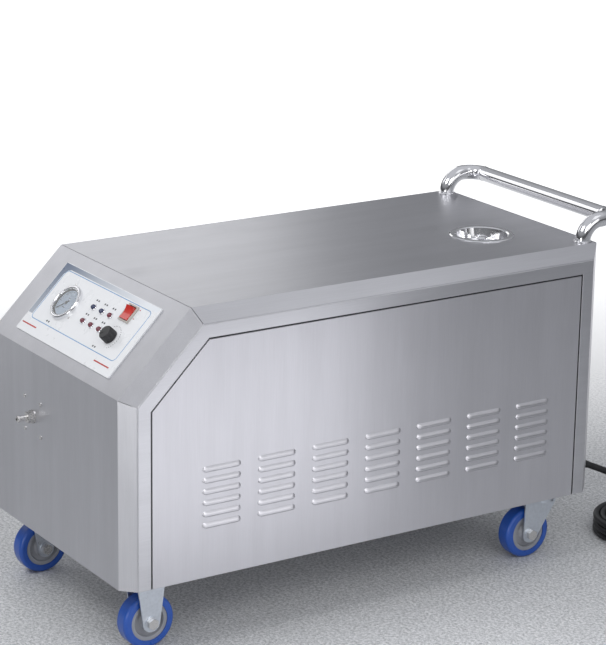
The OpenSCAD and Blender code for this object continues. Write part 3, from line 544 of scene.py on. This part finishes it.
for side, name in ((1, "right"), (-1, "left")):
    # Local X along the cabinet, local Y up, local Z outwards
    face = Matrix(((0, 0, side, 0), (1, 0, 0, 0), (0, 1, 0, 0), (0, 0, 0, 1)))
    lifted = face @ Matrix.Translation(mm(0, 0, DOOR_OUT))
    back_of_sheet = DOOR_OUT - DOOR_SHEET
    bm = bmesh.new()
    slab(bm, cabinet_side(DOOR_INSET, BASE_Z), back_of_sheet, DOOR_OUT, face)
    band(bm, cabinet_side(DOOR_INSET, FLANGE_LOW),
         cabinet_side(DOOR_INSET + FLANGE_WALL, FLANGE_LOW + FLANGE_WALL),
         back_of_sheet - FLANGE_DEEP, back_of_sheet, face)
    door = piece("door_sheet_" + name, bm, "steel_door", rounding=0.7)
    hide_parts("side_door_" + name)
    bm = bmesh.new()
    for y, z in LOUVRES:
        louvre(bm, y, z, lifted)
    piece("louvres_" + name, bm, "steel_door", crease=60)
    # Painted shade: a black block under each hood's lower edge stands in for the dark inside of its open
    # mouth.
    bm = bmesh.new()
    for y, z in LOUVRES:
        mouth = rounded(LOUVRE_L - MOUTH_SHORTER, MOUTH_H, MOUTH_R, y, z - MOUTH_DOWN, 3)
        slab(bm, mouth, MOUTH_GAP, LOUVRE_OUT - MOUTH_IN, lifted)
    piece("louvre_mouth_shade_" + name, bm, "black")
    # Painted shade: a black band across the gap round the door stands in for the dark inside of the gap.
    bm = bmesh.new()
    band(bm, cabinet_side(OPEN_INSET + GAP_SHADE_MARGIN, BASE_Z), cabinet_side(DOOR_INSET - GAP_SHADE_MARGIN, BASE_Z),
         GAP_SHADE_IN, GAP_SHADE_OUT, face)
    piece("door_gap_shade_" + name, bm, "black")

# Print on the control plate: x across the slope, u up it
PRINT = (2.51, 2.58)
LIGHTS = [(x, u) for u in (124, 93) for x in (-3, 27, 57)]
KNOB, KNOB_SCALE_R, KNOB_DOTS, KNOB_FROM, KNOB_SWEEP = (101, 91), 23, 16, 122, 182
GAUGE, GAUGE_SCREWS_R = (-85, 108), 42
FRAME_LINE = (rounded(316, 110, 10, 0, 109.5), rounded(313, 107, 8.5, 0, 109.5))
BORDER = [(-174.5, 62), (-174.5, 176), (174.5, 176), (168, 166.5), (-146, 166.5), (-155, 163), (-160, 154),
          (-160, 62)]
BARS_X, BAR_U, BAR_L, BAR_H = (-170, 104), 40, 53, 2.6
ROCKER_MARKS = [(122, 157), (122, 138)]
LABELS, LABEL_UP, LABEL_DASHES = LIGHTS + [(-95, 48), (80, 48)], 14.5, (-7.6, -0.4)


def round_spot(middle, radius, degrees):
    """A point on a circle."""
    a = math.radians(degrees)
    return middle[0] + radius * math.cos(a), middle[1] + radius * math.sin(a)


piece("plate_outline", band(bmesh.new(), *FRAME_LINE, *PRINT, SLOPE), "ink_line")
piece("plate_border", slab(bmesh.new(), BORDER, *PRINT, SLOPE), "border")
bm = bmesh.new()
for x in BARS_X:
    bar = [(x, BAR_U), (x + BAR_L, BAR_U), (x + BAR_L, BAR_U + BAR_H), (x, BAR_U + BAR_H)]
    slab(bm, bar, *PRINT, SLOPE)
for x, u in ROCKER_MARKS:
    slab(bm, rounded(3.4, 2.2, 1, x, u, 3), *PRINT, SLOPE)
piece("plate_marks_red", bm, "ink_red")
bm = bmesh.new()
for x, u in LABELS:
    for dx in LABEL_DASHES:
        slab(bm, rounded(4.2, 3.4, 0.8, x + dx, u + LABEL_UP, 3), *PRINT, SLOPE)
for k in range(KNOB_DOTS + 1):
    dot = round_spot(KNOB, KNOB_SCALE_R, KNOB_FROM - KNOB_SWEEP * k / KNOB_DOTS)
    slab(bm, rounded(1.7, 1.7, 0.8, *dot, 3), *PRINT, SLOPE)
piece("plate_marks", bm, "ink_black")
SCREW = [(2.0, 2.5), (2.0, 3.0), (1.4, 3.5), (0, 3.6)]
bm = bmesh.new()
for degrees in (113, 205, -32):
    lathe(bm, SCREW, at(*round_spot(GAUGE, GAUGE_SCREWS_R, degrees)), sides=20)
piece("gauge_screws", bm, "chrome_dull")

# Gauge: rolled bezel, inner rim and dial print
BEZEL = [(30.15, 8.65), (30.6, 9.2), (31.6, 9.6), (33.0, 9.6), (34.4, 9.0), (35.4, 7.8), (35.8, 6.2),
         (35.8, 2.55), (30.15, 2.55)]
RIM = [(26.6, 3.85), (26.9, 4.6), (28.3, 7.2), (28.45, 7.2), (28.45, 3.85)]
DIAL_PRINT = (3.81, 3.86)
TICKS, SWEEP, TICK_END = 30, 270, 24.6
piece("gauge_bezel", lathe(bmesh.new(), BEZEL, at(*GAUGE), closed=True), "chrome", crease=50)
piece("gauge_rim", lathe(bmesh.new(), RIM, at(*GAUGE), closed=True), "black")
bm = bmesh.new()
for k in range(TICKS + 1):
    half, start = (0.55, 19.0) if k % 5 == 0 else (0.28, 21.6)
    tick = [(-half, start), (half, start), (half, TICK_END), (-half, TICK_END)]
    slab(bm, tick, *DIAL_PRINT, at(*GAUGE, 0, SWEEP / 2 - SWEEP * k / TICKS))
slab(bm, rounded(9, 1.4, 0.5, 0, -9.5, 3), *DIAL_PRINT, at(*GAUGE))
slab(bm, rounded(6, 1.2, 0.5, 0, 9.5, 3), *DIAL_PRINT, at(*GAUGE))
piece("dial_marks", bm, "ink_black")

# Pilot lights: a turned holder and a domed lens
HOLDER = [(0, -20), (5, -20), (5, 2.5), (7, 2.5), (7, 3.3), (6.7, 4.4), (6.1, 5.1), (5.3, 5.1), (4.9, 4.4),
          (0, 4.3)]
DOME = [(4.85, 4.2), (4.85, 5.6), (4.5, 7.0), (3.7, 8.2), (2.5, 9.0), (1.2, 9.4), (0, 9.5)]
LENS_LOOKS = ["lens"] * 2 + ["lens_red"] * 4
for k, (spot, look) in enumerate(zip(LIGHTS, LENS_LOOKS), 1):
    turned = lathe(bmesh.new(), HOLDER, at(*spot), sides=40)
    holder = piece(f"light_holder_{k}", turned, "chrome")
    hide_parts(f"light_{k}")
    piece(f"light_lens_{k}", lathe(bmesh.new(), DOME, at(*spot), sides=40), look)

# Collars where the handle meets the top sheet
COLLAR = [(14.9, 619.02), (17.2, 619.02), (17.2, 620.2), (16.2, 621.6), (14.9, 622.0)]
HANDLE_X, HANDLE_Y = 219, 477
bm = bmesh.new()
for x in (-HANDLE_X, HANDLE_X):
    lathe(bm, COLLAR, Matrix.Translation(mm(x, HANDLE_Y, 0)), closed=True)
piece("handle_collars", bm, "chrome")

# ---- Floor: speckled stone that fades to white behind the machine, in metres ----
FLOOR_SIZE = 24
BEHIND, FADE_LENGTH, FADE = (-0.84, 0.54, 0.0), 6.0, [(0.08, 0.0), (0.42, 1.0)]
FAR_TONE, FAR_GLOW = (0.92, 0.92, 0.92), 0.8
SPECKS = [(0.38, (0.30, 0.31, 0.32)), (0.50, (0.62, 0.63, 0.64)), (0.60, (0.86, 0.86, 0.87))]
floor_mat = Nodes("floor_stone", (0.80, 0.80, 0.80), 0.55)
speck = floor_mat.noise(170, 6, rough=0.85)
blotch = floor_mat.noise(40, 4, rough=0.7, offset=(5, 3, 1))
patch = floor_mat.ramp(blotch, [(0.30, shade(WHITE, 0.86)), (0.70, WHITE)])
stone = floor_mat.mix(1.0, floor_mat.ramp(speck, SPECKS), patch, "MULTIPLY")
behind = floor_mat.add("VectorMath", operation="DOT_PRODUCT")
behind.inputs[1].default_value = BEHIND
floor_mat.link(floor_mat.coord.outputs["Object"], behind.inputs[0])
far = floor_mat.ramp(floor_mat.maths("DIVIDE", behind.outputs["Value"], FADE_LENGTH), FADE)
floor_mat.color(floor_mat.mix(far, stone, FAR_TONE))
floor_mat.bump(speck, 0.15, 0.0005)
floor_mat.shader.inputs["Emission Color"].default_value = (*WHITE, 1)
floor_mat.link(floor_mat.maths("MULTIPLY", far, FAR_GLOW), floor_mat.shader.inputs["Emission Strength"])
bpy.ops.mesh.primitive_plane_add(size=FLOOR_SIZE, location=(0, 0, 0))
floor = bpy.context.object
floor.name = "floor"
floor.data.materials.append(floor_mat.mat)

# ---- Light: name, place, what it looks at, size in metres, watts ----
LAMPS = [
    ("door_light", (0.70, -0.16, 0.27), (0.26, -0.16, 0.27), (0.82, 0.52), 1.0),
    ("fill_light", (2.3, -0.5, 1.9), (0.7, -0.2, 0.0), (1.2, 1.2), 13),
    ("hood_light", (1.8, 0.75, 1.3), (0.26, -0.05, 0.28), (1.0, 0.8), 2.6),
    ("left_light", (-3.2, 1.15, 1.75), (0, 0, 0.6), (1.5, 1.2), 6.0),
    ("slope_light", (-2.1, -0.80, 1.75), (0, -0.45, 0.5), (1.2, 1.2), 4.3),
    ("over_light", (0.95, 0.9, 2.6), (0.25, 0, 0.6), (1.0, 1.0), 1.4),
    ("low_light", (1.35, -2.2, 0.5), (0.25, -0.5, 0.3), (1.0, 0.7), 8),
    ("front_light", (0.1, -2.0, 2.6), (0, -0.3, 0.3), (1.4, 1.0), 26),
]
TINTS = {"door_light": (0.97, 0.97, 1.0)}
for name, place, look_at, size, power in LAMPS:
    data = bpy.data.lights.new(name, "AREA")
    data.shape, data.size, data.size_y = "RECTANGLE", size[0], size[1]
    data.energy, data.color = power, TINTS.get(name, WHITE)
    light = bpy.data.objects.new(name, data)
    light.location = place
    light.visible_camera = False
    light.rotation_euler = (Vector(look_at) - Vector(place)).to_track_quat("-Z", "Y").to_euler()
    bpy.context.scene.collection.objects.link(light)

# The world's brightness by height, from the horizon up
SKY = ((0.0, 0.12), (0.10, 0.06), (0.28, 0.30), (0.55, 0.36), (0.80, 0.60))
SKY_TINT = (0.93, 0.95, 1.0)
world = bpy.data.worlds.new("studio")
bpy.context.scene.world = world
world.use_nodes = True
sky = world.node_tree
height = sky.nodes.new("ShaderNodeSeparateXYZ")
shades = sky.nodes.new("ShaderNodeValToRGB")
coord = sky.nodes.new("ShaderNodeTexCoord")
sky.links.new(coord.outputs["Generated"], height.inputs[0])
sky.links.new(height.outputs["Z"], shades.inputs["Fac"])
sky.links.new(shades.outputs["Color"], sky.nodes["Background"].inputs["Color"])
for position, value in SKY:
    stop = shades.color_ramp.elements[0] if position == 0 else shades.color_ramp.elements.new(position)
    stop.color = (*(value * k for k in SKY_TINT), 1)
shades.color_ramp.elements.remove(shades.color_ramp.elements[-1])
sky.nodes["Background"].inputs["Strength"].default_value = 1.0
bpy.context.scene.view_settings.view_transform = "Standard"
